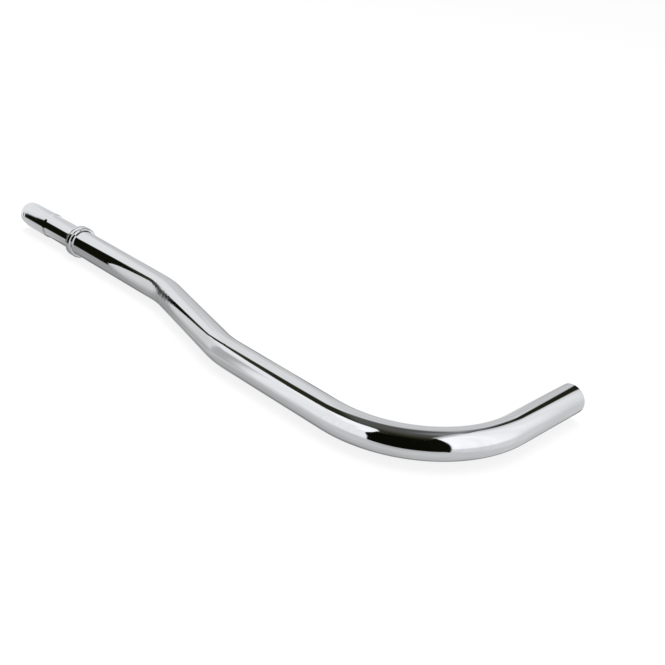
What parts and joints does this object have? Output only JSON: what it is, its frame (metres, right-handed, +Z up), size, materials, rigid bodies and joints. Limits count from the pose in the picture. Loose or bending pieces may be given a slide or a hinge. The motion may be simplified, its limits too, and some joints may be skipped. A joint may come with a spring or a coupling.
{
  "type": "flush pipe",
  "caption": "Bent flush pipe of bright plated tube with a drawn-down neck and rolled bead at the inlet, a shallow crank and a wide right-angled elbow to a plain outlet.",
  "frame": {"origin": "centre of the footprint, on the surface that the pipe lies on", "axes": "+X along the runs from the inlet to the elbow, +Y the way the outlet points, +Z up, square to the plane of the bends"},
  "size_m": [0.6448, 0.206, 0.0345],
  "materials": {
    "chrome_tube": "polished"
  },
  "bodies": {
    "root": {"flush_pipe": "chrome_tube"}
  },
  "joints": []
}
